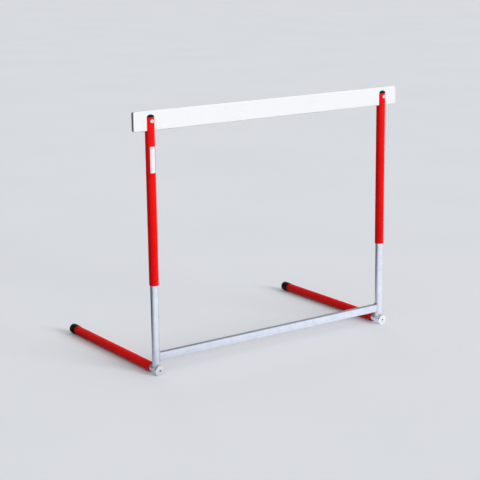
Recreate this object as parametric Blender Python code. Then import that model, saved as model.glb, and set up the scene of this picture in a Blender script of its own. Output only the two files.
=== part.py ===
"""Training hurdle: a hollow lath bolted across two telescopic posts, on two long feet tied by a rail.

Metres, +Z up. X runs along the lath, the front faces -Y, and the origin lies on the floor under the
middle of the whole hurdle. The lath is drawn at one of its height settings.
"""

import math

import bmesh
import bpy

# Lath: a hollow bar, open at both ends
LATH_LENGTH = 1.180
LATH_HEIGHT = 0.070
LATH_DEPTH = 0.015
LATH_WALL = 0.0025
LATH_EDGE_RADIUS = 0.003
LATH_END_RADIUS = 0.007
LATH_TOP_Z = 0.950

# Posts: red sleeves that telescope over silver uprights
POST_SPACING = 1.045
SLEEVE_DIAMETER = 0.034
SLEEVE_WALL = 0.0025
SLIDE_CLEARANCE = 0.0005
UPRIGHT_WALL = 0.002
PRONG_BELOW_LATH_TOP = 0.023
DOME_HEIGHT = 0.011

# Height setting: a row of holes in each sleeve, and a spring button in each upright
HOLE_PITCH = 0.050
STEPS_UP = 2
STEPS_DOWN = 4
SLEEVE_BELOW_LAST_HOLE = 0.040
UPRIGHT_ABOVE_BUTTON = 0.150
LATH_ABOVE_UPRIGHT_AT_LOWEST = 0.060
BUTTON_DIAMETER = 0.008
BUTTON_PROUD = 0.0035
BUTTON_ROUNDING = 0.0025
RIVET_DIAMETER = 0.0034
RIVET_HEAD_DIAMETER = 0.006
RIVET_HEAD_HEIGHT = 0.001
SPRING_WIDTH = 0.008
SPRING_THICKNESS = 0.0008
SPRING_LENGTH = 0.045
SPRING_PAD = 0.008
SPRING_BEND_RADIUS = 0.004

# Guide plug in the top of each upright
PLUG_HEAD_HEIGHT = 0.004
PLUG_DEPTH = 0.016
PLUG_WALL = 0.002
PLUG_CHAMFER = 0.001

# Bolts through fork, saddles and lath
BOLT_DIAMETER = 0.008
BOLT_HEAD_DIAMETER = 0.014
BOLT_HEAD_HEIGHT = 0.0044
BOLT_CROWN_ANGLE = 60
BOLT_SOCKET = 0.005
BOLT_SOCKET_DEPTH = 0.0026
BOLT_END_PROUD = 0.0012
WASHER_DIAMETER = 0.016
WASHER_THICKNESS = 0.0016
NUT_ACROSS_FLATS = 0.013
NUT_HEIGHT = 0.008
SPACER_WALL = 0.0017

# Feet: red tubes on silver stubs, which the uprights are welded to
FOOT_TUBE_DIAMETER = 0.034
FOOT_TUBE_WALL = 0.0025
STUB_CLEARANCE = 0.0005
STUB_WALL = 0.002
STUB_BEHIND_POST = 0.130
FOOT_TUBE_START = 0.030
FOOT_END_BEHIND_POST = 0.628
CAP_WALL = 0.0011
CAP_END_WALL = 0.002
CAP_LENGTH = 0.038
CAP_ROUNDING = 0.0025
DISC_AHEAD_OF_POST = 0.0265
DISC_THICKNESS = 0.005
DISC_ROUNDING = 0.002
DISC_SPIGOT = 0.008
FOOT_SCREW_DIAMETER = 0.010
FOOT_SCREW_HEAD_DIAMETER = 0.020
FOOT_SCREW_SOCKET = 0.006
FOOT_SCREW_SOCKET_DEPTH = 0.004
FOOT_SCREW_END_PROUD = 0.003
FOOT_PLUG_LENGTH = 0.020
FOOT_PLUG_CHAMFER = 0.001

# Cross rail between the uprights
RAIL_HEIGHT = 0.030
RAIL_DEPTH = 0.020
RAIL_WALL = 0.002
RAIL_EDGE_RADIUS = 0.003
RAIL_ABOVE_STUB = 0.0174

# Gap between pieces that touch, and around pins in their holes
GAP = 0.0003

# Least radius inside the corners of a hollow bar, and how far a cutter reaches past what it cuts
LEAST_INNER_RADIUS = 0.0004
CUTTER_REACH = 0.010
MERGE_DISTANCE = 1e-7

# Facets
TUBE_SEGMENTS = 36
PIN_SEGMENTS = 24
CORNER_STEPS = 3
DOME_STEPS = 6
SMOOTH_ANGLE = math.radians(35)

# Sizes that follow from the ones above
SLEEVE_RADIUS = SLEEVE_DIAMETER / 2
SLEEVE_BORE_RADIUS = SLEEVE_RADIUS - SLEEVE_WALL
UPRIGHT_RADIUS = SLEEVE_BORE_RADIUS - SLIDE_CLEARANCE
UPRIGHT_BORE_RADIUS = UPRIGHT_RADIUS - UPRIGHT_WALL
FOOT_TUBE_RADIUS = FOOT_TUBE_DIAMETER / 2
FOOT_BORE_RADIUS = FOOT_TUBE_RADIUS - FOOT_TUBE_WALL
STUB_RADIUS = FOOT_BORE_RADIUS - STUB_CLEARANCE
STUB_BORE_RADIUS = STUB_RADIUS - STUB_WALL
CAP_RADIUS = FOOT_TUBE_RADIUS + GAP + CAP_WALL
FOOT_AXIS_Z = CAP_RADIUS
POST_Y = (DISC_AHEAD_OF_POST - FOOT_END_BEHIND_POST) / 2

LATH_BOTTOM_Z = LATH_TOP_Z - LATH_HEIGHT
LATH_MIDDLE_Z = LATH_TOP_Z - LATH_HEIGHT / 2
PRONG_TOP_Z = LATH_TOP_Z - PRONG_BELOW_LATH_TOP
UPRIGHT_TOP_Z = LATH_BOTTOM_Z - STEPS_DOWN * HOLE_PITCH - LATH_ABOVE_UPRIGHT_AT_LOWEST
BUTTON_Z = UPRIGHT_TOP_Z - UPRIGHT_ABOVE_BUTTON
SLEEVE_BOTTOM_Z = BUTTON_Z - STEPS_UP * HOLE_PITCH - SLEEVE_BELOW_LAST_HOLE
RAIL_MIDDLE_Z = FOOT_AXIS_Z + STUB_RADIUS + RAIL_ABOVE_STUB + RAIL_HEIGHT / 2

BOLT_HOLE_RADIUS = BOLT_DIAMETER / 2 + GAP
BUTTON_HOLE_RADIUS = BUTTON_DIAMETER / 2 + GAP
FOOT_SCREW_HOLE_RADIUS = FOOT_SCREW_DIAMETER / 2 + GAP
PAST_SLEEVE = SLEEVE_RADIUS + CUTTER_REACH
FACET_FLAT = math.cos(math.pi / TUBE_SEGMENTS)
SIDES = (("left", -POST_SPACING / 2), ("right", POST_SPACING / 2))

# Local Z turned to lie along X or Y
ALONG_X = (0, math.radians(90), 0)
ALONG_Y = (math.radians(-90), 0, 0)
ALONG_MINUS_Y = (math.radians(90), 0, 0)

# Finishes: colour, roughness, metallic
RED_POWDER_COAT = ((0.80, 0.020, 0.015), 0.35, 0.0)
ZINC = ((0.62, 0.66, 0.74), 0.32, 1.0)
WHITE_PLASTIC = ((0.88, 0.89, 0.91), 0.40, 0.0)
BLACK_PLASTIC = ((0.020, 0.018, 0.028), 0.45, 0.0)
SPRING_STEEL = ((0.35, 0.36, 0.38), 0.30, 1.0)


def clear_scene():
    for item in list(bpy.data.objects):
        bpy.data.objects.remove(item, do_unlink=True)


def empty(name, location, parent=None):
    """A point that a group of pieces hangs on."""
    point = bpy.data.objects.new(name, None)
    point.location = location
    point.parent = parent
    bpy.context.scene.collection.objects.link(point)
    return point


def new_object(name, shape, parent, location, turn):
    mesh = bpy.data.meshes.new(name)
    bmesh.ops.recalc_face_normals(shape, faces=shape.faces)
    shape.to_mesh(mesh)
    shape.free()
    mesh.shade_smooth()
    mesh.set_sharp_from_angle(angle=SMOOTH_ANGLE)
    made = bpy.data.objects.new(name, mesh)
    made.parent = parent
    made.location = location
    made.rotation_euler = turn
    bpy.context.scene.collection.objects.link(made)
    return made


def piece(name, shape, finish, parent, location=(0, 0, 0), turn=(0, 0, 0)):
    """One sub-part with a material of its own."""
    made = new_object(name, shape, parent, location, turn)
    colour, roughness, metallic = finish
    material = bpy.data.materials.new(name)
    material.use_nodes = True
    material.diffuse_color = (*colour, 1.0)
    shader = material.node_tree.nodes["Principled BSDF"]
    shader.inputs["Base Color"].default_value = (*colour, 1.0)
    shader.inputs["Roughness"].default_value = roughness
    shader.inputs["Metallic"].default_value = metallic
    made.data.materials.append(material)
    return made


def cut(target, name, shape, location=(0, 0, 0), turn=(0, 0, 0)):
    """Cuts a shape, placed under the same parent, out of a piece."""
    cutter = new_object(f"{target.name}_{name}", shape, target.parent, location, turn)
    cutter.hide_render = True
    cutter.display_type = "WIRE"
    modifier = target.modifiers.new(name, "BOOLEAN")
    modifier.operation = "DIFFERENCE"
    modifier.object = cutter


def turned(profile, segments):
    """A profile of (radius, height) points spun round local Z. It is closed unless it ends on the axis."""
    shape = bmesh.new()
    points = [shape.verts.new((radius, 0, height)) for radius, height in profile]
    pairs = list(zip(points, points[1:]))
    if profile[0][0] > 0:
        pairs.append((points[-1], points[0]))
    edges = [shape.edges.new(pair) for pair in pairs]
    bmesh.ops.spin(
        shape,
        geom=points + edges,
        cent=(0, 0, 0),
        axis=(0, 0, 1),
        angle=math.tau,
        steps=segments,
        use_merge=True,
    )
    bmesh.ops.remove_doubles(shape, verts=shape.verts, dist=MERGE_DISTANCE)
    return shape


def tube(outer, inner, start, end, segments=TUBE_SEGMENTS):
    return turned([(outer, start), (outer, end), (inner, end), (inner, start)], segments)


def rod(radius, start, end, segments=PIN_SEGMENTS):
    return turned([(0, start), (radius, start), (radius, end), (0, end)], segments)


def arc(centre, radii, start, end, steps):
    """Points of an ellipse's arc between two angles in degrees."""
    angles = [math.radians(start + (end - start) * i / steps) for i in range(steps + 1)]
    return [(centre[0] + radii[0] * math.cos(a), centre[1] + radii[1] * math.sin(a)) for a in angles]


def rectangle(width, height):
    return [(x * width / 2, y * height / 2) for x, y in ((1, 1), (-1, 1), (-1, -1), (1, -1))]


def rounded_rectangle(width, height, radius):
    x, y = width / 2 - radius, height / 2 - radius
    corners = [((x, y), 0), ((-x, y), 90), ((-x, -y), 180), ((x, -y), 270)]
    points = []
    for centre, start in corners:
        points += arc(centre, (radius, radius), start, start + 90, CORNER_STEPS)
    return points


def extruded(outlines, length):
    """One outline filled, or a ring between two outlines of as many points, extruded along local Z."""
    shape = bmesh.new()
    loops = [[shape.verts.new((x, y, -length / 2)) for x, y in outline] for outline in outlines]
    if len(loops) == 1:
        faces = [shape.faces.new(loops[0])]
    else:
        outer, inner = loops
        count = len(outer)
        faces = [
            shape.faces.new((outer[i], outer[(i + 1) % count], inner[(i + 1) % count], inner[i]))
            for i in range(count)
        ]
    lifted = bmesh.ops.extrude_face_region(shape, geom=faces)
    moved = [item for item in lifted["geom"] if isinstance(item, bmesh.types.BMVert)]
    bmesh.ops.translate(shape, verts=moved, vec=(0, 0, length))
    return shape


def hexagon(across_flats, segments):
    """A hexagon with a point at each step round it, so that it can ring a round hole."""
    points = []
    for i in range(segments):
        angle = math.tau * i / segments
        from_flat = (angle % (math.pi / 3)) - math.pi / 6
        radius = across_flats / 2 / math.cos(from_flat)
        points.append((radius * math.cos(angle), radius * math.sin(angle)))
    return points


def circle(radius, segments):
    return arc((0, 0), (radius, radius), 0, 360, segments)[:-1]


def hollow_section(width, height, wall, radius):
    """The outer and inner outlines of a rectangular hollow section."""
    inner_radius = max(radius - wall, LEAST_INNER_RADIUS)
    return [
        rounded_rectangle(width, height, radius),
        rounded_rectangle(width - 2 * wall, height - 2 * wall, inner_radius),
    ]


def make_lath(parent):
    """The hollow bar, its four end corners rounded and a hole at each post for the bolt and spacer."""
    section = hollow_section(LATH_HEIGHT, LATH_DEPTH, LATH_WALL, LATH_EDGE_RADIUS)
    lath = piece("lath", extruded(section, LATH_LENGTH), WHITE_PLASTIC, parent,
                 (0, 0, LATH_MIDDLE_Z), ALONG_X)
    reach = LATH_END_RADIUS + CUTTER_REACH
    spandrel = arc((0, 0), (LATH_END_RADIUS, LATH_END_RADIUS), 0, 90, 2 * CORNER_STEPS)
    spandrel += [(0, reach), (reach, reach), (reach, 0)]
    for x_side in (-1, 1):
        for z_side in (-1, 1):
            corner = [(x_side * x, z_side * y) for x, y in spandrel]
            place = (
                x_side * (LATH_LENGTH / 2 - LATH_END_RADIUS),
                0,
                LATH_MIDDLE_Z + z_side * (LATH_HEIGHT / 2 - LATH_END_RADIUS),
            )
            # Turned to lie along -Y, an outline's own Y points up
            cut(lath, f"corner_{x_side}_{z_side}", extruded([corner], LATH_DEPTH + CUTTER_REACH),
                place, ALONG_MINUS_Y)
    for side, x in SIDES:
        hole = rod(BOLT_HOLE_RADIUS, -PAST_SLEEVE, PAST_SLEEVE)
        cut(lath, f"hole_{side}", hole, (x, 0, LATH_MIDDLE_Z), ALONG_Y)


def make_spacer(side, x, parent):
    """The short tube inside the lath that keeps the bolt from crushing it."""
    half = LATH_DEPTH / 2 - LATH_WALL - GAP
    shape = tube(BOLT_HOLE_RADIUS + SPACER_WALL, BOLT_HOLE_RADIUS, -half, half, PIN_SEGMENTS)
    piece(f"lath_spacer_{side}", shape, ZINC, parent, (x, 0, LATH_MIDDLE_Z), ALONG_Y)


def make_sleeve(side, x, parent):
    """The upper tube, slotted as a fork for the lath and drilled for the bolt and the height button."""
    shape = tube(SLEEVE_RADIUS, SLEEVE_BORE_RADIUS, SLEEVE_BOTTOM_Z, PRONG_TOP_Z)
    sleeve = piece(f"sleeve_{side}", shape, RED_POWDER_COAT, parent, (x, 0, 0))

    slot_width = LATH_DEPTH + 2 * GAP
    slot_floor = LATH_BOTTOM_Z - GAP
    slot_height = PRONG_TOP_Z - slot_floor + CUTTER_REACH
    slot = extruded([rectangle(2 * PAST_SLEEVE, slot_width)], slot_height)
    cut(sleeve, "slot", slot, (x, 0, slot_floor + slot_height / 2))

    bolt_hole = rod(BOLT_HOLE_RADIUS, -PAST_SLEEVE, PAST_SLEEVE)
    cut(sleeve, "bolt_hole", bolt_hole, (x, 0, LATH_MIDDLE_Z), ALONG_Y)
    for step in range(-STEPS_UP, STEPS_DOWN + 1):
        height = BUTTON_Z + step * HOLE_PITCH
        hole = rod(BUTTON_HOLE_RADIUS, 0, PAST_SLEEVE)
        cut(sleeve, f"height_hole_{step + STEPS_UP}", hole, (x, 0, height), ALONG_Y)


def make_saddle(name, x, front, parent):
    """A domed insert that fills one half of the fork: a turned mushroom, sliced flat beside the lath."""
    shank = SLEEVE_BORE_RADIUS - GAP
    rim = PRONG_TOP_Z + GAP
    profile = [(0, LATH_BOTTOM_Z), (shank, LATH_BOTTOM_Z), (shank, rim), (SLEEVE_RADIUS, rim)]
    profile += arc((0, rim), (SLEEVE_RADIUS, DOME_HEIGHT), 0, 90, DOME_STEPS)[1:-1]
    profile.append((0, rim + DOME_HEIGHT))
    shape = turned(profile, TUBE_SEGMENTS)
    flat = LATH_DEPTH / 2 + GAP
    outwards = -1 if front else 1
    sliced = bmesh.ops.bisect_plane(
        shape,
        geom=shape.verts[:] + shape.edges[:] + shape.faces[:],
        plane_co=(0, outwards * flat, 0),
        plane_no=(0, -outwards, 0),
        clear_outer=True,
    )
    rim_edges = [item for item in sliced["geom_cut"] if isinstance(item, bmesh.types.BMEdge)]
    bmesh.ops.edgeloop_fill(shape, edges=rim_edges)
    saddle = piece(name, shape, BLACK_PLASTIC, parent, (x, 0, 0))
    hole = rod(BOLT_HOLE_RADIUS, -PAST_SLEEVE, PAST_SLEEVE)
    cut(saddle, "hole", hole, (x, 0, LATH_MIDDLE_Z), ALONG_Y)


def make_bolt(side, x, parent):
    """The round-headed bolt with its washer and nut, from the front of the fork to the back."""
    seat = SLEEVE_RADIUS + GAP
    washer_back = seat + WASHER_THICKNESS
    nut_front = washer_back + GAP
    end = nut_front + NUT_HEIGHT + BOLT_END_PROUD
    radius = BOLT_DIAMETER / 2
    head = BOLT_HEAD_DIAMETER / 2
    place = (x, 0, LATH_MIDDLE_Z)
    crown = arc((0, -seat), (head, -BOLT_HEAD_HEIGHT), 0, BOLT_CROWN_ANGLE, DOME_STEPS)
    profile = [(0, end), (radius, end), (radius, -seat), *crown, (0, crown[-1][1])]
    bolt = piece(f"lath_bolt_{side}", turned(profile, PIN_SEGMENTS), ZINC, parent, place, ALONG_Y)
    socket = extruded([hexagon(BOLT_SOCKET, 6)], 2 * BOLT_SOCKET_DEPTH)
    cut(bolt, "socket", socket, (x, crown[-1][1], LATH_MIDDLE_Z), ALONG_Y)

    washer = tube(WASHER_DIAMETER / 2, BOLT_HOLE_RADIUS, seat, washer_back, PIN_SEGMENTS)
    piece(f"lath_washer_{side}", washer, ZINC, parent, place, ALONG_Y)
    outlines = [hexagon(NUT_ACROSS_FLATS, PIN_SEGMENTS), circle(BOLT_HOLE_RADIUS, PIN_SEGMENTS)]
    nut = extruded(outlines, NUT_HEIGHT)
    middle = (x, nut_front + NUT_HEIGHT / 2, LATH_MIDDLE_Z)
    piece(f"lath_nut_{side}", nut, ZINC, parent, middle, ALONG_Y)


def make_upright(side, x, parent):
    """The lower tube, coped onto its foot stub and drilled at the back for the button."""
    shape = tube(UPRIGHT_RADIUS, UPRIGHT_BORE_RADIUS, FOOT_AXIS_Z, UPRIGHT_TOP_Z)
    upright = piece(f"lower_upright_{side}", shape, ZINC, parent, (x, 0, 0))
    stub = rod(STUB_RADIUS + GAP, -PAST_SLEEVE, PAST_SLEEVE, TUBE_SEGMENTS)
    cut(upright, "cope", stub, (x, 0, FOOT_AXIS_Z), ALONG_Y)
    hole = rod(BUTTON_HOLE_RADIUS, 0, PAST_SLEEVE)
    cut(upright, "button_hole", hole, (x, 0, BUTTON_Z), ALONG_Y)


def make_upright_plug(side, x, parent):
    """The guide plug: its head runs in the sleeve, and its skirt is pressed into the upright."""
    head = SLEEVE_BORE_RADIUS - GAP
    skirt = UPRIGHT_BORE_RADIUS - GAP
    top = GAP + PLUG_HEAD_HEIGHT
    profile = [
        (0, top),
        (head - PLUG_CHAMFER, top),
        (head, top - PLUG_CHAMFER),
        (head, GAP),
        (skirt, GAP),
        (skirt, -PLUG_DEPTH),
        (skirt - PLUG_WALL, -PLUG_DEPTH),
        (skirt - PLUG_WALL, GAP),
        (0, GAP),
    ]
    shape = turned(profile, TUBE_SEGMENTS)
    piece(f"upright_plug_{side}", shape, BLACK_PLASTIC, parent, (x, 0, UPRIGHT_TOP_Z))


def spring_centre_line():
    """Distance of a leaf's middle from the post's axis, where its edges just clear the bore."""
    clear = math.sqrt((UPRIGHT_BORE_RADIUS * FACET_FLAT) ** 2 - (SPRING_WIDTH / 2) ** 2)
    return clear - GAP - SPRING_THICKNESS / 2


def make_button_spring(side, x, parent):
    """A V of spring strip: one leaf carries the button, the other stands on the opposite wall."""
    leaf = spring_centre_line()
    bend_z = -SPRING_LENGTH
    reach = math.hypot(leaf, -SPRING_PAD - bend_z)
    towards_pad = math.degrees(math.atan2(-SPRING_PAD - bend_z, leaf))
    tangent = towards_pad - math.degrees(math.acos(SPRING_BEND_RADIUS / reach))
    bend = arc((0, bend_z), (SPRING_BEND_RADIUS, SPRING_BEND_RADIUS), -90, tangent, DOME_STEPS)
    half = bend + [(leaf, -SPRING_PAD), (leaf, SPRING_PAD)]
    path = [(-y, z) for y, z in reversed(half[1:])] + half

    shape = bmesh.new()
    near = [shape.verts.new((-SPRING_WIDTH / 2, y, z)) for y, z in path]
    edges = [shape.edges.new(pair) for pair in zip(near, near[1:])]
    swept = bmesh.ops.extrude_edge_only(shape, edges=edges)
    moved = [item for item in swept["geom"] if isinstance(item, bmesh.types.BMVert)]
    bmesh.ops.translate(shape, verts=moved, vec=(SPRING_WIDTH, 0, 0))
    spring = piece(f"button_spring_{side}", shape, SPRING_STEEL, parent, (x, 0, BUTTON_Z))
    strip = spring.modifiers.new("strip", "SOLIDIFY")
    strip.thickness = SPRING_THICKNESS
    strip.offset = 0
    strip.use_even_offset = True
    hole = rod(RIVET_DIAMETER / 2 + GAP, 0, PAST_SLEEVE)
    cut(spring, "rivet_hole", hole, (x, 0, BUTTON_Z), ALONG_Y)


def make_button(side, slide):
    """The button with the rivet that holds it on its leaf. Its parent lies on the line that it moves on."""
    leaf = spring_centre_line()
    rivet_front = leaf - SPRING_THICKNESS / 2 - GAP
    seat = leaf + SPRING_THICKNESS / 2 + GAP
    tip = SLEEVE_RADIUS + BUTTON_PROUD
    radius = BUTTON_DIAMETER / 2
    rounding = arc((radius - BUTTON_ROUNDING, tip - BUTTON_ROUNDING),
                   (BUTTON_ROUNDING, BUTTON_ROUNDING), 0, 90, CORNER_STEPS)
    profile = [
        (0, rivet_front - RIVET_HEAD_HEIGHT),
        (RIVET_HEAD_DIAMETER / 2, rivet_front - RIVET_HEAD_HEIGHT),
        (RIVET_HEAD_DIAMETER / 2, rivet_front),
        (RIVET_DIAMETER / 2, rivet_front),
        (RIVET_DIAMETER / 2, seat),
        (radius, seat),
        *rounding,
        (0, tip),
    ]
    piece(f"button_{side}", turned(profile, PIN_SEGMENTS), ZINC, slide, turn=ALONG_Y)


def make_foot_stub(side, x, parent):
    """The horizontal tube that the upright is welded on, from the front disc into the foot tube."""
    start = -DISC_AHEAD_OF_POST + DISC_THICKNESS + GAP
    shape = tube(STUB_RADIUS, STUB_BORE_RADIUS, start, STUB_BEHIND_POST)
    piece(f"foot_stub_{side}", shape, ZINC, parent, (x, 0, FOOT_AXIS_Z), ALONG_Y)


def make_front_disc(side, x, parent):
    """The end disc, centred in the stub by a spigot and countersunk for the foot screw."""
    front = -DISC_AHEAD_OF_POST
    back = front + DISC_THICKNESS
    bore = FOOT_SCREW_HOLE_RADIUS
    mouth = FOOT_SCREW_HEAD_DIAMETER / 2 + GAP
    spigot = STUB_BORE_RADIUS - GAP
    rounding = arc((CAP_RADIUS - DISC_ROUNDING, front + DISC_ROUNDING),
                   (DISC_ROUNDING, -DISC_ROUNDING), 90, 0, CORNER_STEPS)
    profile = [
        (mouth, front),
        *rounding,
        (CAP_RADIUS, back),
        (spigot, back),
        (spigot, back + DISC_SPIGOT),
        (bore, back + DISC_SPIGOT),
        (bore, front + mouth - bore),
    ]
    shape = turned(profile, TUBE_SEGMENTS)
    piece(f"front_disc_{side}", shape, ZINC, parent, (x, 0, FOOT_AXIS_Z), ALONG_Y)


def make_foot_screw(side, x, parent):
    """The long countersunk screw that draws the threaded plug, and the foot tube with it, onto the stub."""
    front = -DISC_AHEAD_OF_POST
    radius = FOOT_SCREW_DIAMETER / 2
    head = FOOT_SCREW_HEAD_DIAMETER / 2
    end = STUB_BEHIND_POST + GAP + FOOT_PLUG_LENGTH + FOOT_SCREW_END_PROUD
    profile = [(0, front), (head, front), (radius, front + head - radius), (radius, end), (0, end)]
    shape = turned(profile, PIN_SEGMENTS)
    screw = piece(f"foot_screw_{side}", shape, ZINC, parent, (x, 0, FOOT_AXIS_Z), ALONG_Y)
    socket = extruded([hexagon(FOOT_SCREW_SOCKET, 6)], 2 * FOOT_SCREW_SOCKET_DEPTH)
    cut(screw, "socket", socket, (x, front, FOOT_AXIS_Z), ALONG_Y)


def make_foot_plug(side, x, parent):
    """The threaded plug fixed in the foot tube, which stops against the end of the stub."""
    start = STUB_BEHIND_POST + GAP
    end = start + FOOT_PLUG_LENGTH
    outer = FOOT_BORE_RADIUS - GAP
    bore = FOOT_SCREW_HOLE_RADIUS
    profile = [
        (bore, start),
        (outer - FOOT_PLUG_CHAMFER, start),
        (outer, start + FOOT_PLUG_CHAMFER),
        (outer, end - FOOT_PLUG_CHAMFER),
        (outer - FOOT_PLUG_CHAMFER, end),
        (bore, end),
    ]
    shape = turned(profile, PIN_SEGMENTS)
    piece(f"foot_plug_{side}", shape, ZINC, parent, (x, 0, FOOT_AXIS_Z), ALONG_Y)


def make_foot_tube(side, x, parent):
    end = FOOT_END_BEHIND_POST - CAP_END_WALL - GAP
    shape = tube(FOOT_TUBE_RADIUS, FOOT_BORE_RADIUS, FOOT_TUBE_START, end)
    piece(f"foot_tube_{side}", shape, RED_POWDER_COAT, parent, (x, 0, FOOT_AXIS_Z), ALONG_Y)


def make_foot_cap(side, x, parent):
    """The cap over the back end of the foot tube. Caps and front discs are what the hurdle stands on."""
    end = FOOT_END_BEHIND_POST
    start = end - CAP_LENGTH
    bore = FOOT_TUBE_RADIUS + GAP
    rounding = arc((CAP_RADIUS - CAP_ROUNDING, end - CAP_ROUNDING),
                   (CAP_ROUNDING, CAP_ROUNDING), 0, 90, CORNER_STEPS)
    profile = [
        (0, end - CAP_END_WALL),
        (bore, end - CAP_END_WALL),
        (bore, start),
        (CAP_RADIUS, start),
        *rounding,
        (0, end),
    ]
    shape = turned(profile, TUBE_SEGMENTS)
    piece(f"foot_cap_{side}", shape, BLACK_PLASTIC, parent, (x, 0, FOOT_AXIS_Z), ALONG_Y)


def make_cross_rail(parent):
    """The rectangular tube between the uprights, its ends coped to them."""
    section = hollow_section(RAIL_HEIGHT, RAIL_DEPTH, RAIL_WALL, RAIL_EDGE_RADIUS)
    rail = piece("cross_rail", extruded(section, POST_SPACING), ZINC, parent, (0, 0, RAIL_MIDDLE_Z), ALONG_X)
    reach = RAIL_HEIGHT / 2 + CUTTER_REACH
    for side, x in SIDES:
        post = rod(UPRIGHT_RADIUS + GAP, -reach, reach, TUBE_SEGMENTS)
        cut(rail, f"cope_{side}", post, (x, 0, RAIL_MIDDLE_Z))


clear_scene()
base = empty("base_frame", (0, POST_Y, 0))
height_slide = empty("height_slide", (0, POST_Y, 0))

make_cross_rail(base)
make_lath(height_slide)
for side, x in SIDES:
    make_upright(side, x, base)
    make_upright_plug(side, x, base)
    make_foot_stub(side, x, base)
    make_front_disc(side, x, base)
    make_foot_screw(side, x, base)
    make_foot_plug(side, x, base)
    make_foot_tube(side, x, base)
    make_foot_cap(side, x, base)
    make_button_spring(side, x, base)
    make_button(side, empty(f"button_slide_{side}", (x, POST_Y, BUTTON_Z)))
    make_sleeve(side, x, height_slide)
    make_spacer(side, x, height_slide)
    make_saddle(f"front_saddle_{side}", x, True, height_slide)
    make_saddle(f"rear_saddle_{side}", x, False, height_slide)
    make_bolt(side, x, height_slide)
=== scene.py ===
"""Training hurdle: the finished look of every piece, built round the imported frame."""

import math

import bmesh
import bpy
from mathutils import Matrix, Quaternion, Vector


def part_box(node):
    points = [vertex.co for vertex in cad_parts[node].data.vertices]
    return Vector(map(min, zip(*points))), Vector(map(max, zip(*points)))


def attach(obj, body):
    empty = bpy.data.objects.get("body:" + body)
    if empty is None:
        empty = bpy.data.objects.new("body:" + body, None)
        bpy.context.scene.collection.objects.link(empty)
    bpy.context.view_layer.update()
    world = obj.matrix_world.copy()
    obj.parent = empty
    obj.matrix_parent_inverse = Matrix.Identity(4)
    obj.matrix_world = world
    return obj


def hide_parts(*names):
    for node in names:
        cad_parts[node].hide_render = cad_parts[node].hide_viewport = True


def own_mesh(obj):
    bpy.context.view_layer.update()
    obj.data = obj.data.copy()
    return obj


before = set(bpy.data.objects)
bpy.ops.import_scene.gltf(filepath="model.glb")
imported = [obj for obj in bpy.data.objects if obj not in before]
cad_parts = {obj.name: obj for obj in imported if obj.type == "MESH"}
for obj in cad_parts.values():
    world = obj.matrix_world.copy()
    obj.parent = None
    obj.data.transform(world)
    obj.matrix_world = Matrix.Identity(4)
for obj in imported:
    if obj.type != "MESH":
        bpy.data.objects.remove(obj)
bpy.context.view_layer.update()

# Foot stubs: 28 mm welded steel tube, sawn to length and zinc plated. The upright is welded to
# the top of each one, and the red foot tube slides over its back end. As with all that comes in
# pairs, the left one is modelled and its copy goes to the right.
SIDES = ("left", "right")
ROUND_STEPS = 96
RIM_SOFTENING = 0.0004
SMOOTH_UP_TO = math.radians(32)
STUB_WALL = 0.002
MM_IN_METRE = 1000
DRAW_LINES_MM = 1.4
DRAW_LINE_DEPTH_MM = 0.02
DRAW_LINE_STRETCH = 40
PLATING_CLOUD_MM = 26


def middle_and_size(node):
    """The middle and the three sizes of a CAD node's box."""
    low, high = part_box(node)
    return (low + high) / 2, high - low


def make_active(piece):
    """Selects one piece and nothing else, for the operators to work on."""
    bpy.ops.object.select_all(action="DESELECT")
    piece.select_set(True)
    bpy.context.view_layer.objects.active = piece


def apply_modifiers(piece):
    make_active(piece)
    for modifier in list(piece.modifiers):
        bpy.ops.object.modifier_apply(modifier=modifier.name)


def settle(piece, name):
    """Puts a piece's place into its mesh, so that its object sits at the origin."""
    make_active(piece)
    bpy.ops.object.transform_apply(location=True, rotation=True, scale=True)
    piece.name = name
    return piece


def soften(piece, width, steps=2, above=40):
    """Rounds every edge that is sharper than an angle, as tumbling, paint or a mould does."""
    bevel = piece.modifiers.new("softened", "BEVEL")
    bevel.width = width
    bevel.segments = steps
    bevel.limit_method = "ANGLE"
    bevel.angle_limit = math.radians(above)
    bevel.use_clamp_overlap = False
    apply_modifiers(piece)
    bpy.ops.object.shade_smooth_by_angle(angle=SMOOTH_UP_TO)


def add_wall(piece, thickness):
    """Grows a shell's wall inwards."""
    shell = piece.modifiers.new("wall", "SOLIDIFY")
    shell.thickness = thickness
    shell.offset = -1
    shell.use_even_offset = True


def add_cylinder(radius, start, end, steps=ROUND_STEPS, ends="NGON"):
    """A cylinder primitive between two points on a line along X, Y or Z."""
    start, end = Vector(start), Vector(end)
    bpy.ops.object.select_all(action="DESELECT")
    turn = (end - start).to_track_quat("Z", "Y").to_euler()
    bpy.ops.mesh.primitive_cylinder_add(
        vertices=steps, radius=radius, depth=(end - start).length, end_fill_type=ends,
        location=(start + end) / 2, rotation=turn)
    return settle(bpy.context.object, "cylinder")


def add_tube(radius, wall, start, end):
    """A round tube, open at both ends, its rims softened."""
    piece = add_cylinder(radius, start, end, ends="NOTHING")
    add_wall(piece, wall)
    soften(piece, RIM_SOFTENING)
    return piece


def make_copy(piece, move=(0, 0, 0), half_turn_about=None):
    """A copy with a mesh of its own, moved, or turned half round about an upright line."""
    make_active(piece)
    bpy.ops.object.duplicate()
    twin = bpy.context.object
    twin.location = move
    if half_turn_about is not None:
        twin.location = (2 * half_turn_about.x, 2 * half_turn_about.y, 0)
        twin.rotation_euler.z = math.pi
    return settle(twin, "copy")


def hand_over(piece, name, material, body, node=None):
    """Names a finished piece, gives it its finish, and says what it rides on and replaces."""
    piece.name = name
    piece.data.name = name
    piece.data.materials.clear()
    piece.data.materials.append(material)
    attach(piece, body)
    if node:
        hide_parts(node)


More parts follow.
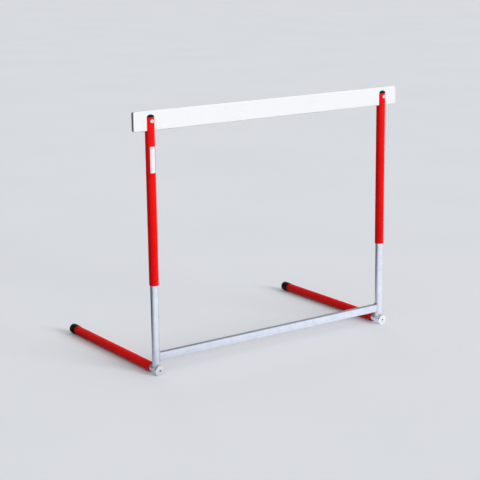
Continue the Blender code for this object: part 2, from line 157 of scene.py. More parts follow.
def hand_over_pair(piece, name, material, body, node=None):
    """Hands over the left one of a pair, and its copy on the right."""
    pair = dict(zip(SIDES, (piece, make_copy(piece, to_right_side))))
    for side, each in pair.items():
        hand_over(each, f"{name}_{side}", material, body.format(side=side),
                  node and f"{node}_{side}")
    return pair


def from_hex(code):
    """An sRGB hex colour as the linear colour that a socket takes."""
    parts = [int(code[i:i + 2], 16) / 255 for i in (1, 3, 5)]
    linear = [v / 12.92 if v <= 0.04045 else ((v + 0.055) / 1.055) ** 2.4 for v in parts]
    return (*linear, 1.0)


def feed(tree, node, inputs):
    """Gives a node's inputs their values, or links them to a socket or a node's first output."""
    for key, value in inputs.items():
        socket = next(s for s in node.inputs if s.enabled and s.name == key)
        if isinstance(value, bpy.types.Node):
            value = next(output for output in value.outputs if output.enabled)
        if isinstance(value, bpy.types.NodeSocket):
            tree.links.new(value, socket)
        else:
            socket.default_value = value


def add_node(tree, kind, inputs=None, **settings):
    """Adds a shader node with its settings, values and links."""
    node = tree.nodes.new(f"ShaderNode{kind}")
    for key, value in settings.items():
        setattr(node, key, value)
    feed(tree, node, inputs or {})
    return node


def new_material(name):
    """A material with its Principled shader and the place of each point on the object."""
    material = bpy.data.materials.new(name)
    material.use_nodes = True
    tree = material.node_tree
    place = add_node(tree, "TexCoord").outputs["Object"]
    return material, tree, tree.nodes["Principled BSDF"], place


def zinc_plated(name, along):
    """Bright zinc plate on drawn steel tube: a soft, cool silver with slightly cloudy
    passivation. Its draw lines run along the tube, wider apart than real ones so that they show."""
    material, tree, shader, place = new_material(name)
    drawn_out = tuple(1 / DRAW_LINE_STRETCH if axis == along else 1 for axis in "XYZ")
    along_tube = add_node(tree, "Mapping", {"Vector": place, "Scale": drawn_out})
    lines = add_node(tree, "TexNoise", {
        "Vector": along_tube, "Scale": MM_IN_METRE / DRAW_LINES_MM, "Detail": 3.0})
    clouds = add_node(tree, "TexNoise", {
        "Vector": place, "Scale": MM_IN_METRE / PLATING_CLOUD_MM, "Detail": 3.0})
    cloudy = add_node(tree, "MapRange", {"Value": clouds, "From Min": 0.4, "From Max": 0.75})
    colour = add_node(tree, "Mix", {
        "Factor": cloudy, "A": from_hex("#E0E6F2"), "B": from_hex("#D2D9E7")}, data_type="RGBA")
    rough = add_node(tree, "MapRange", {
        "Value": lines, "From Min": 0.3, "From Max": 0.7, "To Min": 0.36, "To Max": 0.46})
    bump = add_node(tree, "Bump", {
        "Height": lines, "Strength": 0.4, "Distance": DRAW_LINE_DEPTH_MM / MM_IN_METRE})
    feed(tree, shader, {"Base Color": colour, "Roughness": rough, "Metallic": 1.0, "Normal": bump})
    return material


zinc_along_y = zinc_plated("zinc_plated_steel_tube_y", "Y")
to_right_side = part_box("foot_stub_right")[0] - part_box("foot_stub_left")[0]

middle, size = middle_and_size("foot_stub_left")
half = Vector((0, size.y / 2, 0))
stub = add_tube(size.x / 2, STUB_WALL, middle - half, middle + half)
hand_over_pair(stub, "stub_tube", zinc_along_y, "base", "foot_stub")

# Front discs: steel turnings, zinc plated, with a well rounded rim and a countersunk hole. A
# spigot centres each one in its stub.
DISC_THICKNESS = 0.005
DISC_RIM = 0.002
SCREW_MOUTH_RADIUS = 0.0103
SCREW_BORE_RADIUS = 0.0053
SPIGOT_RADIUS = 0.0117
TOOL_MARKS_MM = 0.6
TOOL_MARK_DEPTH_MM = 0.02
DISC_CLOUD_MM = 9
ROUNDING_STEPS = 6
HAIR = 1e-5
FACING = 0.9


def begin_edit():
    """Opens the active mesh for editing, with nothing of it selected."""
    bpy.ops.object.mode_set(mode="EDIT")
    bpy.ops.mesh.select_all(action="DESELECT")


def end_edit():
    """Closes the active object's edit mode."""
    bpy.ops.object.mode_set(mode="OBJECT")


def select_faces(piece, wanted):
    """In edit mode, selects just the faces that pass a test of their middle and normal."""
    bpy.ops.mesh.select_mode(type="FACE")
    bpy.ops.mesh.select_all(action="DESELECT")
    shape = bmesh.from_edit_mesh(piece.data)
    for face in shape.faces:
        face.select_set(bool(wanted(face.calc_center_median(), face.normal)))
    bmesh.update_edit_mesh(piece.data)


def select_edges(piece, wanted):
    """In edit mode, selects just the edges that pass a test of their two ends."""
    bpy.ops.mesh.select_mode(type="EDGE")
    bpy.ops.mesh.select_all(action="DESELECT")
    shape = bmesh.from_edit_mesh(piece.data)
    for edge in shape.edges:
        edge.select_set(bool(wanted(edge.verts[0].co, edge.verts[1].co)))
    bmesh.update_edit_mesh(piece.data)


def extrude(move=None, scale=None, about=None):
    """In edit mode, extrudes what is selected, then moves it and scales it about a point."""
    bpy.ops.mesh.extrude_region_move()
    if move is not None:
        bpy.ops.transform.translate(value=move)
    if scale is not None:
        bpy.ops.transform.resize(value=(scale,) * 3, center_override=about)


def turned_zinc(name):
    """Bright zinc on a lathe-turned face: a clear, light silver. The tool marks are wider apart
    than the real ones, so that they show."""
    material, tree, shader, place = new_material(name)
    marks = add_node(tree, "TexNoise", {
        "Vector": place, "Scale": MM_IN_METRE / TOOL_MARKS_MM, "Detail": 2.0})
    clouds = add_node(tree, "TexNoise", {
        "Vector": place, "Scale": MM_IN_METRE / DISC_CLOUD_MM, "Detail": 2.0})
    cloudy = add_node(tree, "MapRange", {"Value": clouds, "From Min": 0.4, "From Max": 0.75})
    colour = add_node(tree, "Mix", {
        "Factor": cloudy, "A": from_hex("#F1F3F7"), "B": from_hex("#E4E8EF")}, data_type="RGBA")
    rough = add_node(tree, "MapRange", {"Value": marks, "To Min": 0.28, "To Max": 0.46})
    bump = add_node(tree, "Bump", {
        "Height": marks, "Strength": 0.4, "Distance": TOOL_MARK_DEPTH_MM / MM_IN_METRE})
    feed(tree, shader, {"Base Color": colour, "Roughness": rough, "Metallic": 1.0, "Normal": bump})
    return material


disc_zinc = turned_zinc("zinc_plated_turned_disc")

low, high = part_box("front_disc_left")
centre = Vector(((low.x + high.x) / 2, low.y, (low.z + high.z) / 2))
radius = (high.x - low.x) / 2
back_face = low.y + DISC_THICKNESS
disc = add_cylinder(radius, centre, (centre.x, back_face, centre.z))


def from_disc_axis(spot):
    """How far a point is from the disc's axis."""
    return math.hypot(spot.x - centre.x, spot.z - centre.z)


# The countersunk mouth in front, then the spigot behind, and the bore that joins them
begin_edit()
select_faces(disc, lambda spot, normal: normal.y < -FACING)
bpy.ops.mesh.inset(thickness=radius - SCREW_MOUTH_RADIUS)
sink = Vector((0, SCREW_MOUTH_RADIUS - SCREW_BORE_RADIUS, 0))
extrude(sink, SCREW_BORE_RADIUS / SCREW_MOUTH_RADIUS, centre + sink)
bpy.ops.mesh.delete(type="FACE")
select_faces(disc, lambda spot, normal: normal.y > FACING and spot.y > back_face - HAIR)
bpy.ops.mesh.inset(thickness=radius - SPIGOT_RADIUS)
extrude((0, high.y - back_face, 0))
bpy.ops.mesh.inset(thickness=SPIGOT_RADIUS - SCREW_BORE_RADIUS)
bpy.ops.mesh.delete(type="FACE")
select_edges(disc, lambda a, b: abs(a.y - b.y) < HAIR and max(
    from_disc_axis(a), from_disc_axis(b)) < SCREW_BORE_RADIUS + HAIR)
bpy.ops.mesh.bridge_edge_loops()
bpy.ops.mesh.select_all(action="SELECT")
bpy.ops.mesh.normals_make_consistent(inside=False)
select_edges(disc, lambda a, b: max(a.y, b.y) < low.y + HAIR and min(
    from_disc_axis(a), from_disc_axis(b)) > radius - HAIR)
bpy.ops.mesh.bevel(offset=DISC_RIM, segments=ROUNDING_STEPS, affect="EDGES")
end_edit()
soften(disc, RIM_SOFTENING, above=60)
hand_over_pair(disc, "end_disc", disc_zinc, "base", "front_disc")

# Foot screws: M10 countersunk socket screws, bright zinc plated. They sit flush in the discs,
# and their small hexagon sockets, painted dark as painted shade, are what shows.
SCREW_SHANK_RADIUS = 0.005
SCREW_STEPS = 64
SCREW_SOCKET = 0.006
SCREW_SOCKET_DEPTH = 0.004
# How strongly the screw sockets are painted dark, as painted shade in their recess
SCREW_SOCKET_SHADE = 1.0
FASTENER_SOFTENING = 0.00025
FASTENER_PATCH_MM = 3.5
FASTENER_PATCH_DEPTH_MM = 0.01
CUTTER_REACH = 0.01


def combine(piece, operation, *tools):
    """Cuts tools out of a piece, or keeps only what lies inside them, and deletes them."""
    for tool in tools:
        carve = piece.modifiers.new("carved", "BOOLEAN")
        carve.object = tool
        carve.operation = operation
        carve.solver = "EXACT"
        apply_modifiers(piece)
        bpy.data.objects.remove(tool)
    bpy.ops.object.shade_smooth_by_angle(angle=SMOOTH_UP_TO)


def mark_faces(piece, mark, value, wanted):
    """Writes a value on the faces that pass a test and 0 on the rest, for a material to read."""
    marks = piece.data.attributes.new(mark, "FLOAT", "FACE")
    for face in piece.data.polygons:
        marks.data[face.index].value = value if wanted(face.center, face.normal) else 0.0


def cut_socket(piece, across_flats, mouth, depth, painted_shade):
    """Cuts a hexagon socket into a head that faces the front and marks its painted shade."""
    corner = across_flats / math.sqrt(3)
    combine(piece, "DIFFERENCE", add_cylinder(
        corner, mouth - Vector((0, CUTTER_REACH, 0)), mouth + Vector((0, depth, 0)), steps=6))
    # The socket's inner faces are marked for the painted shade
    mark_faces(piece, "painted_shade", painted_shade, lambda spot, normal: (
        HAIR < spot.y - mouth.y < depth + HAIR
        and math.hypot(spot.x - mouth.x, spot.z - mouth.z) < corner))


def bright_zinc(name):
    """Bright blue-passivated zinc on cold-headed steel: a shiny, cool silver, a little uneven.
    In a socket the plating is thin and dull, and painted shade darkens its colour."""
    material, tree, shader, place = new_material(name)
    patches = add_node(tree, "TexNoise", {
        "Vector": place, "Scale": MM_IN_METRE / FASTENER_PATCH_MM, "Detail": 2.0})
    uneven = add_node(tree, "MapRange", {"Value": patches, "From Min": 0.4, "From Max": 0.7})
    plated = add_node(tree, "Mix", {
        "Factor": uneven, "A": from_hex("#F0F3F8"), "B": from_hex("#DCE2EC")}, data_type="RGBA")
    # Socket faces are painted near black as painted shade, and made duller
    painted_shade = add_node(tree, "Attribute", attribute_name="painted_shade").outputs["Fac"]
    colour = add_node(tree, "Mix", {
        "Factor": painted_shade, "A": plated, "B": from_hex("#2B2C32")}, data_type="RGBA")
    shine = add_node(tree, "MapRange", {"Value": patches, "To Min": 0.18, "To Max": 0.36})
    rough = add_node(tree, "Mix", {"Factor": painted_shade, "A": shine, "B": 0.6})
    bump = add_node(tree, "Bump", {
        "Height": patches, "Strength": 0.3, "Distance": FASTENER_PATCH_DEPTH_MM / MM_IN_METRE})
    feed(tree, shader, {"Base Color": colour, "Roughness": rough, "Metallic": 1.0, "Normal": bump})
    return material


bright_fastener = bright_zinc("zinc_plated_fastener")

low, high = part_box("foot_screw_left")
mouth = Vector(((low.x + high.x) / 2, low.y, (low.z + high.z) / 2))
head = (high.x - low.x) / 2
neck = mouth + Vector((0, head - SCREW_SHANK_RADIUS, 0))
screw = add_cylinder(head, mouth, neck, SCREW_STEPS)
begin_edit()
select_faces(screw, lambda spot, normal: normal.y > FACING)
bpy.ops.transform.resize(value=(SCREW_SHANK_RADIUS / head,) * 3, center_override=neck)
extrude((0, high.y - neck.y, 0))
end_edit()
soften(screw, FASTENER_SOFTENING)
cut_socket(screw, SCREW_SOCKET, mouth, SCREW_SOCKET_DEPTH, SCREW_SOCKET_SHADE)
hand_over_pair(screw, "countersunk_screw", bright_fastener, "base",
               "foot_screw")

# Lower uprights: 28 mm zinc plated tubes, coped at the foot onto the stubs and drilled at the
# back for the spring button. The red sleeves slide on them.
UPRIGHT_WALL = 0.002
WELD_GAP = 0.0003
BUTTON_HOLE_RADIUS = 0.0043
HOLE_STEPS = 48
zinc_along_z = zinc_plated("zinc_plated_steel_tube_z", "Z")

post, size = middle_and_size("lower_upright_left")
post_radius = size.x / 2
post_reach = post_radius + CUTTER_REACH
stub_middle, stub_size = middle_and_size("foot_stub_left")
button_height = middle_and_size("button_left")[0].z


def on_post(height, behind=0.0):
    """A point on the left post's axis, or behind it, at some height."""
    return Vector((post.x, post.y + behind, height))


def button_cutter(height):
    """What drills a hole for the button through the back of a tube."""
    return add_cylinder(BUTTON_HOLE_RADIUS, on_post(height), on_post(height, post_reach),
                        HOLE_STEPS)


upright = add_tube(post_radius, UPRIGHT_WALL, on_post(stub_middle.z),
                   on_post(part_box("lower_upright_left")[1].z))
cope = add_cylinder(stub_size.x / 2 + WELD_GAP, on_post(stub_middle.z, -post_reach),
                    on_post(stub_middle.z, post_reach))
combine(upright, "DIFFERENCE", cope, button_cutter(button_height))
hand_over_pair(upright, "upright_tube", zinc_along_z, "base",
               "lower_upright")

# Weld beads at the feet: a fillet of weld metal round each upright, plated with the rest. The
# ripples are the marks of one pass of the torch.
BEAD_RADIUS = 0.0030
BEAD_SEAT = BEAD_RADIUS / 3
BEAD_QUARTER_STEPS = 60
BEAD_ROUND_STEPS = 3
MERGE_WITHIN = HAIR / 10
RIPPLE_PITCH = 0.0024
RIPPLE_SHARE = 0.10
SWAY_SHARE = 0.06
SWAY_PITCH = 0.021
WELD_PITS_MM = 1.1
WELD_PIT_DEPTH_MM = 0.1
WELD_SOOT_MM = 6


def plated_weld(name):
    """Weld metal under zinc plate: a shade duller than the tube, rough and finely pitted."""
    material, tree, shader, place = new_material(name)
    pits = add_node(tree, "TexNoise", {
        "Vector": place, "Scale": MM_IN_METRE / WELD_PITS_MM, "Detail": 4.0})
    soot = add_node(tree, "TexNoise", {
        "Vector": place, "Scale": MM_IN_METRE / WELD_SOOT_MM, "Detail": 3.0})
    sooty = add_node(tree, "MapRange", {"Value": soot, "From Min": 0.42, "From Max": 0.75})
    colour = add_node(tree, "Mix", {
        "Factor": sooty, "A": from_hex("#E9EDF5"), "B": from_hex("#BCC4D3")}, data_type="RGBA")
    rough = add_node(tree, "MapRange", {"Value": pits, "To Min": 0.40, "To Max": 0.58})
    bump = add_node(tree, "Bump", {
        "Height": pits, "Strength": 0.5, "Distance": WELD_PIT_DEPTH_MM / MM_IN_METRE})
    feed(tree, shader, {"Base Color": colour, "Roughness": rough, "Metallic": 1.0, "Normal": bump})
    return material


weld_metal = plated_weld("zinc_plated_weld")


def add_bead(radius, route):
    """A rippled bead along a closed route: a circle curve, moved point by point onto the joint."""
    bpy.ops.object.select_all(action="DESELECT")
    bpy.ops.curve.primitive_bezier_circle_add(radius=radius)
    bead = bpy.context.object
    bpy.ops.object.mode_set(mode="EDIT")
    bpy.ops.curve.select_all(action="SELECT")
    bpy.ops.curve.spline_type_set(type="POLY")
    bpy.ops.curve.subdivide(number_cuts=BEAD_QUARTER_STEPS - 1)
    end_edit()
    points = bead.data.splines[0].points
    places = [route(i / len(points)) for i in range(len(points))]
    travelled = 0.0
    for i, point in enumerate(points):
        travelled += (places[i] - places[i - 1]).length if i else 0.0
        ripple = abs(math.sin(math.pi * travelled / RIPPLE_PITCH)) - 0.5
        sway = math.sin(math.tau * travelled / SWAY_PITCH)
        point.co = (*places[i], 1.0)
        point.radius = 1 + RIPPLE_SHARE * ripple + SWAY_SHARE * sway
    bead.data.dimensions = "3D"
    bead.data.bevel_depth = BEAD_RADIUS
    bead.data.bevel_resolution = BEAD_ROUND_STEPS
    bpy.ops.object.convert(target="MESH")
    bead = settle(bpy.context.object, "bead")
    begin_edit()
    bpy.ops.mesh.select_all(action="SELECT")
    bpy.ops.mesh.remove_doubles(threshold=MERGE_WITHIN)
    bpy.ops.mesh.normals_make_consistent(inside=False)
    end_edit()
    bpy.ops.object.shade_smooth()
    return bead


def round_the_foot(share):
    """A circle round the upright, bent down onto the round stub."""
    x = post_radius * math.cos(math.tau * share)
    y = post_radius * math.sin(math.tau * share)
    outwards = 1 + BEAD_SEAT / post_radius
    seat_radius = stub_size.x / 2 + BEAD_SEAT
    return Vector((post.x + x * outwards, post.y + y * outwards,
                   stub_middle.z + math.sqrt(seat_radius ** 2 - x ** 2)))


hand_over_pair(add_bead(post_radius, round_the_foot), "foot_weld", weld_metal, "base")

# Cross rail: 30 x 20 mm welded rectangular steel tube, zinc plated, its ends shaped to the
# uprights and welded all round.
RAIL_WALL = 0.002
RAIL_EDGE_RADIUS = 0.003
EDGE_STEPS = 5
BEAD_SQUARENESS = 0.28
zinc_along_x = zinc_plated("zinc_plated_steel_tube_x", "X")


def add_hollow_bar(low, high, edge_radius, wall):
    """A rectangular hollow bar along X: a cube opened at both ends, its long edges rounded."""
    bpy.ops.object.select_all(action="DESELECT")
    bpy.ops.mesh.primitive_cube_add(size=1, location=(low + high) / 2, scale=high - low)
    bar = settle(bpy.context.object, "bar")
    begin_edit()
    select_faces(bar, lambda spot, normal: abs(normal.x) > FACING)
    bpy.ops.mesh.delete(type="ONLY_FACE")
    select_edges(bar, lambda a, b: abs(a.x - b.x) > HAIR)
    bpy.ops.mesh.bevel(offset=edge_radius, segments=EDGE_STEPS, affect="EDGES")
    end_edit()
    add_wall(bar, wall)
    apply_modifiers(bar)
    return bar


rail_low, rail_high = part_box("cross_rail")
rail_low.x, rail_high.x = post.x, post.x + to_right_side.x
rail = add_hollow_bar(rail_low, rail_high, RAIL_EDGE_RADIUS, RAIL_WALL)
left_end = add_cylinder(post_radius + WELD_GAP, on_post(rail_low.z - CUTTER_REACH),
                        on_post(rail_high.z + CUTTER_REACH))
combine(rail, "DIFFERENCE", make_copy(left_end, to_right_side), left_end)
hand_over(rail, "rail_tube", zinc_along_x, "base", "cross_rail")

rail_middle = (rail_low + rail_high) / 2
rail_half = (rail_high - rail_low) / 2


def round_the_rail(share):
    """A rounded rectangle, by the angle about the rail's axis, wrapped onto the upright."""
    across, up = math.cos(math.tau * share), math.sin(math.tau * share)
    y = rail_half.y * math.copysign(abs(across) ** BEAD_SQUARENESS, across)
    z = rail_half.z * math.copysign(abs(up) ** BEAD_SQUARENESS, up)
    away = math.sqrt((post_radius + BEAD_SEAT) ** 2 - y ** 2)
    return Vector((post.x + away, rail_middle.y + y, rail_middle.z + z))


left_weld = add_bead(rail_half.z, round_the_rail)
right_weld = make_copy(left_weld, half_turn_about=rail_middle)
for side, weld in zip(SIDES, (left_weld, right_weld)):
    hand_over(weld, f"rail_weld_{side}", weld_metal, "base")

# Foot plugs: turned steel plugs with a threaded bore, fixed inside the foot tubes. Nothing of
# them shows, so the CAD solids stay and only take their finish.


def finish_solids(node, material):
    """Gives a pair of CAD solids their finish."""
    for side in SIDES:
        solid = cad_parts[f"{node}_{side}"]
        solid.data.materials.clear()
        solid.data.materials.append(material)


finish_solids("foot_plug", disc_zinc)

# Foot tubes: 34 mm steel tubes with a thick red powder coat. The coat rounds off the sawn rims
# and has a faint orange peel.
FOOT_TUBE_WALL = 0.0025
ORANGE_PEEL_MM = 1.8
ORANGE_PEEL_DEPTH_MM = 0.04
DUST_MM = 45


def powder_coat(name):
    """Polyester powder coat: an even, saturated red with an orange peel of 1 to 2 mm, and a
    slightly dusty patch here and there."""
    material, tree, shader, place = new_material(name)
    peel = add_node(tree, "TexNoise", {
        "Vector": place, "Scale": MM_IN_METRE / ORANGE_PEEL_MM, "Detail": 1.0})
    dust = add_node(tree, "TexNoise", {
        "Vector": place, "Scale": MM_IN_METRE / DUST_MM, "Detail": 3.0})
    dusty = add_node(tree, "MapRange", {"Value": dust, "From Min": 0.35, "From Max": 0.75})
    colour = add_node(tree, "Mix", {
        "Factor": dusty, "A": from_hex("#FC0D08"), "B": from_hex("#EE0B09")}, data_type="RGBA")
    rough = add_node(tree, "MapRange", {
        "Value": dust, "From Min": 0.3, "From Max": 0.7, "To Min": 0.38, "To Max": 0.48})
    bump = add_node(tree, "Bump", {
        "Height": peel, "Strength": 0.5, "Distance": ORANGE_PEEL_DEPTH_MM / MM_IN_METRE})
    feed(tree, shader, {"Base Color": colour, "Roughness": rough, "Normal": bump,
                        "Specular IOR Level": 0.14})
    return material


red_powder = powder_coat("red_polyester_powder_coat")

middle, size = middle_and_size("foot_tube_left")
half = Vector((0, size.y / 2, 0))
foot_tube = add_tube(size.x / 2, FOOT_TUBE_WALL, middle - half, middle + half)
hand_over_pair(foot_tube, "red_foot", red_powder, "base", "foot_tube")

# Foot caps: injection-moulded black polyethylene caps, pushed over the back ends of the foot
# tubes. Their end corner is rounded and they stand a little proud of the tube.
CAP_WALL = 0.0011
CAP_ROUNDING = 0.0025
MOULD_GRAIN_MM = 0.5
MOULD_GRAIN_DEPTH_MM = 0.03
RUBS_MM = 14


def moulded_black(name):
    """Black moulded polyethylene: a soft satin black with the grain of the tool, drawn coarser
    than it is so that it shows, and a few pale rubs."""
    material, tree, shader, place = new_material(name)
    grain = add_node(tree, "TexNoise", {
        "Vector": place, "Scale": MM_IN_METRE / MOULD_GRAIN_MM, "Detail": 2.0})
    rubs = add_node(tree, "TexNoise", {
        "Vector": place, "Scale": MM_IN_METRE / RUBS_MM, "Detail": 4.0})
    rubbed = add_node(tree, "MapRange", {
        "Value": rubs, "From Min": 0.55, "From Max": 0.8, "To Max": 0.5})
    colour = add_node(tree, "Mix", {
        "Factor": rubbed, "A": from_hex("#0C0A12"), "B": from_hex("#24232B")}, data_type="RGBA")
    rough = add_node(tree, "MapRange", {"Value": grain, "To Min": 0.36, "To Max": 0.52})
    bump = add_node(tree, "Bump", {
        "Height": grain, "Strength": 0.5, "Distance": MOULD_GRAIN_DEPTH_MM / MM_IN_METRE})
    feed(tree, shader, {"Base Color": colour, "Roughness": rough, "Normal": bump,
                        "Specular IOR Level": 0.28})
    return material


black_plastic = moulded_black("black_polyethylene")

low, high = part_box("foot_cap_left")
middle = (low + high) / 2
half = Vector((0, (high.y - low.y) / 2, 0))
cap = add_cylinder((high.x - low.x) / 2, middle - half, middle + half)
begin_edit()
select_faces(cap, lambda spot, normal: normal.y < -FACING)
bpy.ops.mesh.delete(type="ONLY_FACE")
select_edges(cap, lambda a, b: min(a.y, b.y) > high.y - HAIR)
bpy.ops.mesh.bevel(offset=CAP_ROUNDING, segments=ROUNDING_STEPS, affect="EDGES")
end_edit()
add_wall(cap, CAP_WALL)
soften(cap, RIM_SOFTENING)
hand_over_pair(cap, "end_cap", black_plastic, "base", "foot_cap")

# Height buttons: turned zinc plated pins with rounded tips, each riveted to a V of spring strip
# inside the upright.
BUTTON_TIP_ROUNDING = 0.0024
RIVET_RADIUS = 0.0017
RIVET_HEAD_RADIUS = 0.003
RIVET_HEAD_HEIGHT = 0.001


def on_button(y):
    """A point on the left button's axis."""
    return Vector((post.x, y, button_height))


low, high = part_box("button_left")
radius = (high.x - low.x) / 2
spring_low, spring_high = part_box("button_spring_left")
head_end = low.y + RIVET_HEAD_HEIGHT
seat = spring_high.y + WELD_GAP
button = add_cylinder(RIVET_HEAD_RADIUS, on_button(low.y), on_button(head_end), HOLE_STEPS)
begin_edit()
select_faces(button, lambda spot, normal: normal.y > FACING)
bpy.ops.mesh.inset(thickness=RIVET_HEAD_RADIUS - RIVET_RADIUS)
extrude((0, seat - head_end, 0))
extrude(scale=radius / RIVET_RADIUS, about=on_button(seat))
extrude((0, high.y - seat, 0))
select_edges(button, lambda a, b: min(a.y, b.y) > high.y - HAIR)
bpy.ops.mesh.bevel(offset=BUTTON_TIP_ROUNDING, segments=ROUNDING_STEPS, affect="EDGES")
end_edit()
bpy.ops.object.shade_smooth_by_angle(angle=SMOOTH_UP_TO)
hand_over_pair(button, "button_pin", bright_fastener, "lock_button_{side}",
               "button")

# Button springs: V-shaped strips of hardened spring steel behind the buttons, their edges
# barrelled smooth.
SPRING_EDGE_SOFTENING = 0.0001
ROLLING_LINES_MM = 0.8
ROLLING_LINE_STRETCH = 30


def spring_strip(name):
    """Hardened and tempered spring strip: blue-grey and rolled bright, with lines along it."""
    material, tree, shader, place = new_material(name)
    along_strip = add_node(tree, "Mapping", {
        "Vector": place, "Scale": (1, 1, 1 / ROLLING_LINE_STRETCH)})
    lines = add_node(tree, "TexNoise", {
        "Vector": along_strip, "Scale": MM_IN_METRE / ROLLING_LINES_MM, "Detail": 2.0})
    colour = add_node(tree, "Mix", {
        "Factor": lines, "A": from_hex("#A3A9B5"), "B": from_hex("#7C8394")}, data_type="RGBA")
    rough = add_node(tree, "MapRange", {"Value": lines, "To Min": 0.22, "To Max": 0.4})
    feed(tree, shader, {"Base Color": colour, "Roughness": rough, "Metallic": 1.0})
    return material


# The CAD solid's bent strip is already right, so it is copied without its frame marks, merged
# and softened
spring = make_copy(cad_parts["button_spring_left"])
for key in list(spring.keys()):
    del spring[key]
spring.parent = None
begin_edit()
bpy.ops.mesh.select_all(action="SELECT")
bpy.ops.mesh.remove_doubles(threshold=MERGE_WITHIN)
end_edit()
soften(spring, SPRING_EDGE_SOFTENING, steps=1, above=60)
springs = hand_over_pair(spring, "spring_strip", spring_strip("tempered_spring_strip"), "base",
                         "button_spring")
for side, strip in springs.items():
    fixed_end = middle_and_size(f"button_spring_{side}")[0]
    fixed_end.y = spring_low.y
    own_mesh(strip)

# Guide plugs: black moulded plugs in the tops of the uprights, hidden in the sleeves. The CAD
# solids stay and take the moulded plastic.
finish_solids("upright_plug", black_plastic)

# Sleeves: 34 mm red powder-coated tubes. Each is slotted at the top into a fork for the lath
# and drilled for the bolt and, at the back, for the row of height settings.
SLEEVE_WALL = 0.0025
BOLT_HOLE_RADIUS = 0.0043
HOLE_PITCH = 0.050
HOLES_BELOW = 2
HOLES_ABOVE = 4
LATH_CLEARANCE = 0.0003

lath_low, lath_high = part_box("lath")
bolt_height = (lath_low.z + lath_high.z) / 2
low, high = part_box("sleeve_left")
sleeve_front, sleeve_top = low.y, high.z
sleeve_radius = (high.x - low.x) / 2
sleeve_reach = sleeve_radius + CUTTER_REACH


def add_box(low, high):
    """A plain box, as a cutter."""
    bpy.ops.object.select_all(action="DESELECT")
    bpy.ops.mesh.primitive_cube_add(size=1, location=(Vector(low) + Vector(high)) / 2,
                                    scale=Vector(high) - Vector(low))
    return settle(bpy.context.object, "box")


def bolt_cutter():
    """What drills the bolt hole right through the left post."""
    return add_cylinder(BOLT_HOLE_RADIUS, on_post(bolt_height, -sleeve_reach),
                        on_post(bolt_height, sleeve_reach), HOLE_STEPS)


sleeve = add_tube(sleeve_radius, SLEEVE_WALL, on_post(low.z), on_post(sleeve_top))
fork = add_box(
    (post.x - sleeve_reach, lath_low.y - LATH_CLEARANCE, lath_low.z - LATH_CLEARANCE),
    (post.x + sleeve_reach, lath_high.y + LATH_CLEARANCE, sleeve_top + CUTTER_REACH))
lowest_hole = button_cutter(button_height - HOLES_BELOW * HOLE_PITCH)
higher_holes = [make_copy(lowest_hole, (0, 0, step * HOLE_PITCH))
                for step in range(1, HOLES_BELOW + HOLES_ABOVE + 1)]
combine(sleeve, "DIFFERENCE", fork, bolt_cutter(), lowest_hole, *higher_holes)
hand_over_pair(sleeve, "red_sleeve", red_powder, "top", "sleeve")

# Label: a blank strip of white vinyl film, wrapped on the front of the left sleeve 54 mm below
# the lath, its corners rounded.
LABEL_HEIGHT = 0.092
LABEL_HALF_ANGLE = math.radians(34.5)
LABEL_BELOW_LATH = 0.054
LABEL_FILM = 0.00018
LABEL_GAP = LABEL_FILM / 4
LABEL_CORNER = 0.003
LABEL_CORNER_STEPS = 5
LABEL_WAVE_MM = 18
LABEL_WAVE_DEPTH_MM = 0.03


def vinyl_film(name):
    """White label film: smooth and slightly glossy, here and there a little yellowed."""
    material, tree, shader, place = new_material(name)
    tired = add_node(tree, "TexNoise", {
        "Vector": place, "Scale": MM_IN_METRE / LABEL_WAVE_MM, "Detail": 3.0})
    yellowed = add_node(tree, "MapRange", {"Value": tired, "From Min": 0.4, "From Max": 0.8})
    colour = add_node(tree, "Mix", {
        "Factor": yellowed, "A": from_hex("#EEF0F4"), "B": from_hex("#E4E5E6")},
        data_type="RGBA")
    rough = add_node(tree, "MapRange", {"Value": tired, "To Min": 0.3, "To Max": 0.42})
    bump = add_node(tree, "Bump", {
        "Height": tired, "Strength": 0.4, "Distance": LABEL_WAVE_DEPTH_MM / MM_IN_METRE})
    feed(tree, shader, {"Base Color": colour, "Roughness": rough, "Normal": bump})
    return material


def angle_from_front(spot):
    """How far round the left post a point is from its front."""
    return abs(math.atan2(spot.x - post.x, post.y - spot.y))


label_top = lath_low.z - LABEL_BELOW_LATH
label = add_cylinder(sleeve_radius + LABEL_GAP, on_post(label_top - LABEL_HEIGHT),
                     on_post(label_top), ends="NOTHING")
begin_edit()
select_faces(label, lambda spot, normal: angle_from_front(spot) > LABEL_HALF_ANGLE)
bpy.ops.mesh.delete(type="FACE")
bpy.ops.mesh.select_mode(type="VERT")
shape = bmesh.from_edit_mesh(label.data)
half_width = max(angle_from_front(vert.co) for vert in shape.verts)
for vert in shape.verts:
    vert.select_set(angle_from_front(vert.co) > half_width - HAIR)
bmesh.update_edit_mesh(label.data)
bpy.ops.mesh.bevel(offset=LABEL_CORNER, segments=LABEL_CORNER_STEPS, affect="VERTICES")
end_edit()
film = label.modifiers.new("film", "SOLIDIFY")
film.thickness = LABEL_FILM
film.offset = 1
apply_modifiers(label)
bpy.ops.object.shade_smooth_by_angle(angle=SMOOTH_UP_TO)
hand_over(label, "blank_label", vinyl_film("white_vinyl_film"), "top")

# Lath: a hollow bar of extruded white PVC, 70 x 15 mm, with softened long edges, open ends
# sawn square and all four end corners rounded so that they don't catch a leg.
LATH_WALL = 0.0025
LATH_EDGE_RADIUS = 0.003
LATH_END_RADIUS = 0.007
LATH_END_STEPS = 12
LATH_SAW_SOFTENING = 0.0003
TRIM_SPARE = 0.004
TURNED_TO_END = 0.5
DIE_LINES_MM = 2.0
DIE_LINE_DEPTH_MM = 0.02
DIE_LINE_STRETCH = 400
SCUFF_MM = 12
SCUFF_STRETCH = 3


